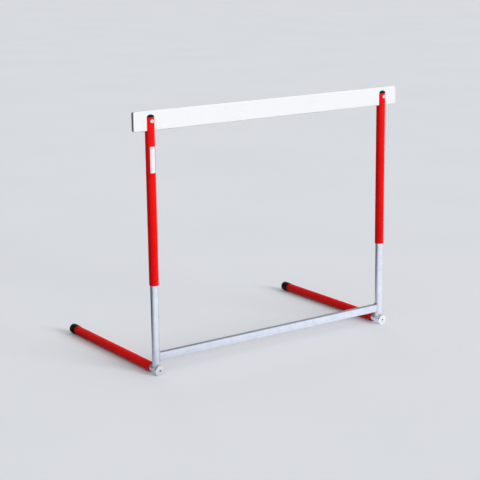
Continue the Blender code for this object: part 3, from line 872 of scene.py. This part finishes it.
def extruded_pvc(name):
    """Rigid white PVC profile: satin, with faint die lines along its length, drawn wider apart
    than real ones, and a few grey scuffs from use. Its inside is painted grey as painted shade."""
    material, tree, shader, place = new_material(name)
    along_lath = add_node(tree, "Mapping", {
        "Vector": place, "Scale": (1 / DIE_LINE_STRETCH, 1, 1)})
    lines = add_node(tree, "TexNoise", {
        "Vector": along_lath, "Scale": MM_IN_METRE / DIE_LINES_MM, "Detail": 1.0})
    long_scuffs = add_node(tree, "Mapping", {
        "Vector": place, "Scale": (1 / SCUFF_STRETCH, 1, 1)})
    scuffs = add_node(tree, "TexNoise", {
        "Vector": long_scuffs, "Scale": MM_IN_METRE / SCUFF_MM, "Detail": 5.0})
    scuffed = add_node(tree, "MapRange", {
        "Value": scuffs, "From Min": 0.62, "From Max": 0.85, "To Max": 0.5})
    outside = add_node(tree, "Mix", {
        "Factor": scuffed, "A": from_hex("#EFF0F1"), "B": from_hex("#DADDE2")},
        data_type="RGBA")
    # The hollow's inner faces are painted grey as painted shade
    inside = add_node(tree, "Attribute", attribute_name="inside").outputs["Fac"]
    colour = add_node(tree, "Mix", {
        "Factor": inside, "A": outside, "B": from_hex("#B2B3BA")}, data_type="RGBA")
    rough = add_node(tree, "MapRange", {"Value": lines, "To Min": 0.38, "To Max": 0.5})
    bump = add_node(tree, "Bump", {
        "Height": lines, "Strength": 0.4, "Distance": DIE_LINE_DEPTH_MM / MM_IN_METRE})
    feed(tree, shader, {"Base Color": colour, "Roughness": rough, "Normal": bump})
    return material


past_end = Vector((TRIM_SPARE, 0, 0))
lath = add_hollow_bar(lath_low - past_end, lath_high + past_end, LATH_EDGE_RADIUS, LATH_WALL)
past_face = Vector((0, CUTTER_REACH, HAIR))
outline = add_box(lath_low - past_face, lath_high + past_face)
begin_edit()
select_edges(outline, lambda a, b: abs(a.y - b.y) > HAIR)
bpy.ops.mesh.bevel(offset=LATH_END_RADIUS, segments=LATH_END_STEPS, affect="EDGES")
end_edit()
combine(lath, "INTERSECT", outline)
soften(lath, LATH_SAW_SOFTENING, above=50)
left_bolt_hole = bolt_cutter()
combine(lath, "DIFFERENCE", make_copy(left_bolt_hole, to_right_side), left_bolt_hole)
lath_middle = (lath_low + lath_high) / 2
hollow_half = (lath_high - lath_low) / 2 - Vector((0, LATH_WALL - HAIR, LATH_WALL - HAIR))
# Marks the inner faces of the hollow, which get the painted shade
mark_faces(lath, "inside", 1.0, lambda spot, normal: (
    abs(spot.y - lath_middle.y) < hollow_half.y and abs(spot.z - lath_middle.z) < hollow_half.z
    and abs(normal.x) < TURNED_TO_END))
hand_over(lath, "white_lath", extruded_pvc("white_rigid_pvc"), "top", "lath")

# Spacers: short zinc plated tubes inside the lath, round the bolts. They only show far inside
# the open ends, so the CAD solids stay.
finish_solids("lath_spacer", bright_fastener)

# Saddles: black moulded half-round inserts that fill the fork on each side of the lath. A domed
# head covers the sawn end of each prong.
DOME_STEPS = 9
DOME_TOP_FLAT = math.radians(1.3)
SADDLE_SOFTENING = 0.0005


def raise_dome(base, rise, radius, last_angle, steps):
    """In edit mode, extrudes the selected disc into a dome. The vector goes from the middle of
    its base to where its full top would be, and it stops at an angle short of that."""
    reached, risen = radius, 0.0
    for step in range(1, steps + 1):
        angle = last_angle * step / steps
        next_radius, next_risen = radius * math.cos(angle), math.sin(angle)
        extrude(rise * (next_risen - risen), next_radius / reached, base + rise * next_risen)
        reached, risen = next_radius, next_risen


low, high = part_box("front_saddle_left")
rim = sleeve_top + LATH_CLEARANCE
shank = sleeve_radius - SLEEVE_WALL - LATH_CLEARANCE
saddle = add_cylinder(shank, on_post(low.z), on_post(rim))
begin_edit()
select_faces(saddle, lambda spot, normal: normal.z > FACING)
extrude(scale=sleeve_radius / shank, about=on_post(rim))
# The two domes of a pair are halves of one, and the lath hides where its top would be
cut_share = (post.y - high.y) / sleeve_radius
full_height = (high.z - rim) / math.sqrt(1 - cut_share ** 2)
raise_dome(on_post(rim), Vector((0, 0, full_height)), sleeve_radius,
           math.radians(90) - DOME_TOP_FLAT, DOME_STEPS)
bpy.ops.mesh.select_all(action="SELECT")
bpy.ops.mesh.bisect(plane_co=(post.x, high.y, rim), plane_no=(0, 1, 0), use_fill=True,
                    clear_outer=True)
end_edit()
soften(saddle, SADDLE_SOFTENING, steps=3, above=50)
combine(saddle, "DIFFERENCE", bolt_cutter())
rear_saddle = make_copy(saddle, half_turn_about=post)
hand_over_pair(saddle, "front_domed_insert", black_plastic, "top",
               "front_saddle")
hand_over_pair(rear_saddle, "rear_domed_insert", black_plastic, "top",
               "rear_saddle")

# Bolts: M8 round-headed socket bolts through fork and lath, cold headed and bright zinc plated.
# Their crowned heads are the bright dots on the front of the fork.
BOLT_SHANK_RADIUS = 0.004
BOLT_STEPS = 64
HEAD_STEPS = 7
CROWN_ANGLE = math.radians(60)
BOLT_SOCKET = 0.005
BOLT_SOCKET_DEPTH = 0.0026
# How strongly the bolt sockets are painted dark, as painted shade in their recess
BOLT_SOCKET_SHADE = 0.3


def on_bolt(y):
    """A point on the left bolt's axis."""
    return Vector((post.x, y, bolt_height))


low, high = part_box("lath_bolt_left")
head = (high.x - low.x) / 2
seat = sleeve_front - LATH_CLEARANCE
bolt = add_cylinder(BOLT_SHANK_RADIUS, on_bolt(high.y), on_bolt(seat), BOLT_STEPS)
begin_edit()
select_faces(bolt, lambda spot, normal: normal.y < -FACING)
extrude(scale=head / BOLT_SHANK_RADIUS, about=on_bolt(seat))
full_height = (seat - low.y) / math.sin(CROWN_ANGLE)
raise_dome(on_bolt(seat), Vector((0, -full_height, 0)), head, CROWN_ANGLE, HEAD_STEPS)
end_edit()
soften(bolt, FASTENER_SOFTENING, above=50)
cut_socket(bolt, BOLT_SOCKET, on_bolt(low.y), BOLT_SOCKET_DEPTH, BOLT_SOCKET_SHADE)
hand_over_pair(bolt, "round_head_bolt", bright_fastener, "top", "lath_bolt")

# Washers: plain M8 washers, stamped from strip and zinc plated. One lies between the back of
# each fork and its nut, so that the nut doesn't bite into the powder coat.
low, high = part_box("lath_washer_left")
washer_radius = (high.x - low.x) / 2
washer = add_tube(washer_radius, washer_radius - BOLT_HOLE_RADIUS, on_bolt(low.y),
                  on_bolt(high.y))
hand_over_pair(washer, "plain_washer", bright_fastener, "top", "lath_washer")

# Nuts: M8 lock nuts at the back of the bolts, cold formed and zinc plated. The hexagon is
# chamfered, and behind it stands the round collar that grips the thread.
NUT_SIDES = 6
NUT_COLLAR_SHARE = 0.30
NUT_CHAMFER = math.radians(30)
NUT_SPARE = 0.0002

low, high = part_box("lath_nut_left")
corner = max(high.x - low.x, high.z - low.z) / 2
nut = add_cylinder(corner, on_bolt(low.y), on_bolt(high.y), NUT_SIDES)
wide = corner + NUT_SPARE
collar = corner * math.cos(math.pi / NUT_SIDES) - NUT_SPARE
shoulder = high.y - (high.y - low.y) * NUT_COLLAR_SHARE
slope = (wide - collar) * math.tan(NUT_CHAMFER)
turned_outline = add_cylinder(wide, on_bolt(low.y - NUT_SPARE), on_bolt(shoulder), BOLT_STEPS)
begin_edit()
select_faces(turned_outline, lambda spot, normal: normal.y > FACING)
extrude((0, slope, 0), collar / wide, on_bolt(shoulder + slope))
extrude((0, high.y + NUT_SPARE - shoulder - slope, 0))
end_edit()
combine(nut, "INTERSECT", turned_outline)
combine(nut, "DIFFERENCE", add_cylinder(BOLT_HOLE_RADIUS, on_bolt(low.y - CUTTER_REACH),
                                        on_bolt(high.y + CUTTER_REACH), BOLT_STEPS))
soften(nut, FASTENER_SOFTENING, above=30)
hand_over_pair(nut, "lock_nut", bright_fastener, "top", "lath_nut")

# Studio: a wide pale floor, a soft room, a broad lamp from the right front and a weak one from
# behind. What metal mirrors is bright towards the broad lamp and dim behind the hurdle.
FLOOR_WIDTH = 160
FLOOR_CLOUD_MM = 900
FLOOR_BRIGHT_SIDE = (0.28, -0.96, 0)
FLOOR_DIM_UP_TO = -0.45
FLOOR_BRIGHT_FROM = 0.60
FLOOR_SHEEN = 0.41
ROOM_BRIGHT_SIDE = (0.38, -0.74, -0.55)
ROOM_SEEN = 0.77
ROOM_LIGHT = (0.36, 1.12)
ROOM_MIRRORED = (0.10, 1.26)
LAMP_ENERGY = 2.00
LAMP_SPREAD = math.radians(24)
LAMP_DISTANCE = 3
LAMP_FROM = Vector((0.34, -0.84, 0.28))
BACK_LAMP_ENERGY = 1.1
BACK_LAMP_FROM = Vector((0.40, 0.91, 0.06))


def towards_lamp(tree, place, side, dim_up_to, bright_from):
    """Rises from 0 to 1 as a place, or a direction, lies further to the lamp's side."""
    distance = add_node(tree, "VectorMath", {"Vector": place}, operation="DOT_PRODUCT")
    distance.inputs[1].default_value = side
    return add_node(tree, "MapRange", {
        "Value": distance.outputs["Value"], "From Min": dim_up_to, "From Max": bright_from})


def tell_rays_apart(tree):
    """Whether a surface is met by way of a mirror, and whether it is seen or shows through."""
    ray = add_node(tree, "LightPath").outputs
    seen = add_node(tree, "Math", operation="MAXIMUM")
    tree.links.new(ray["Is Camera Ray"], seen.inputs[0])
    tree.links.new(ray["Is Transmission Ray"], seen.inputs[1])
    return ray["Is Glossy Ray"], seen


bpy.ops.object.select_all(action="DESELECT")
bpy.ops.mesh.primitive_plane_add(size=FLOOR_WIDTH, location=(0, 0, 0))
floor = bpy.context.object
floor.name = "floor"
floor_paint, tree, shader, place = new_material("pale_floor_paint")
shade = add_node(tree, "TexNoise", {
    "Vector": place, "Scale": MM_IN_METRE / FLOOR_CLOUD_MM, "Detail": 2.0})
paint = add_node(tree, "Mix", {
    "Factor": shade, "A": from_hex("#F0F3F8"), "B": from_hex("#F6F8FB")}, data_type="RGBA")
lit = towards_lamp(tree, place, FLOOR_BRIGHT_SIDE, FLOOR_DIM_UP_TO, FLOOR_BRIGHT_FROM)
mirrored_paint = add_node(tree, "Mix", {
    "Factor": lit, "A": from_hex("#484C54"), "B": from_hex("#FAFBFD")}, data_type="RGBA")
by_mirror, seen = tell_rays_apart(tree)
# Only what is seen of the floor is this pale, so that it throws no glare on the hurdle
seen_paint = add_node(tree, "Mix", {
    "Factor": seen, "A": from_hex("#868C96"), "B": paint}, data_type="RGBA")
colour = add_node(tree, "Mix", {
    "Factor": by_mirror, "A": seen_paint, "B": mirrored_paint}, data_type="RGBA")
mirrored_lit = add_node(tree, "Mix", {"Factor": by_mirror, "A": 0.0, "B": lit})
sheen = add_node(tree, "MapRange", {"Value": mirrored_lit, "To Max": FLOOR_SHEEN})
feed(tree, shader, {"Base Color": colour, "Roughness": 0.9, "Specular IOR Level": 0.2,
                    "Emission Color": from_hex("#F8F9FB"), "Emission Strength": sheen})
floor.data.materials.append(floor_paint)

room = bpy.data.worlds.new("studio_room")
bpy.context.scene.world = room
room.use_nodes = True
tree = room.node_tree
direction = add_node(tree, "TexCoord").outputs["Generated"]
by_mirror, seen = tell_rays_apart(tree)
lit = towards_lamp(tree, direction, ROOM_BRIGHT_SIDE, dim_up_to=-1, bright_from=1)
light, mirrored = (
    add_node(tree, "MapRange", {"Value": lit, "To Min": dim, "To Max": bright})
    for dim, bright in (ROOM_LIGHT, ROOM_MIRRORED))
light_or_seen = add_node(tree, "Mix", {"Factor": seen, "A": light, "B": ROOM_SEEN})
strength = add_node(tree, "Mix", {"Factor": by_mirror, "A": light_or_seen, "B": mirrored})
feed(tree, tree.nodes["Background"], {"Color": from_hex("#F8F9FB"), "Strength": strength})


def add_lamp(name, energy, source):
    """A broad lamp that shines from a direction. Nothing mirrors it."""
    bpy.ops.object.light_add(type="SUN", location=source * LAMP_DISTANCE)
    lamp = bpy.context.object
    lamp.name = name
    lamp.data.energy = energy
    lamp.data.angle = LAMP_SPREAD
    lamp.visible_glossy = False
    lamp.rotation_euler = source.to_track_quat("Z", "Y").to_euler()


add_lamp("broad_lamp", LAMP_ENERGY, LAMP_FROM)
add_lamp("back_lamp", BACK_LAMP_ENERGY, BACK_LAMP_FROM)

# Camera: at the photograph's viewing angle, to the left of the front and 0.6 m above the lath,
# with a long lens. The sizes come from a fit of the hurdle's corners to the photograph.
PHOTO_PIXELS = 480
SENSOR_WIDTH_MM = 36
CAMERA_AZIMUTH = math.radians(-34.853)
CAMERA_ELEVATION = math.radians(13.288)
CAMERA_ROLL = math.radians(-0.711)
CAMERA_DISTANCE = 4.8382
CAMERA_FOCUS_PIXELS = 1318.593
CAMERA_AIM = Vector((-0.1502, -0.30075, 0.4397))
CAMERA_REACH = 300

back = Vector((
    math.sin(CAMERA_AZIMUTH) * math.cos(CAMERA_ELEVATION),
    -math.cos(CAMERA_AZIMUTH) * math.cos(CAMERA_ELEVATION),
    math.sin(CAMERA_ELEVATION),
))
bpy.ops.object.camera_add(location=CAMERA_AIM + back * CAMERA_DISTANCE)
camera = bpy.context.object
camera.name = "photo_camera"
camera.rotation_mode = "QUATERNION"
camera.rotation_quaternion = back.to_track_quat("Z", "Y") @ Quaternion((0, 0, 1), CAMERA_ROLL)
camera.data.sensor_width = SENSOR_WIDTH_MM
camera.data.lens = CAMERA_FOCUS_PIXELS * SENSOR_WIDTH_MM / PHOTO_PIXELS
camera.data.clip_end = CAMERA_REACH
bpy.context.scene.camera = camera
bpy.context.scene.view_settings.view_transform = "Standard"
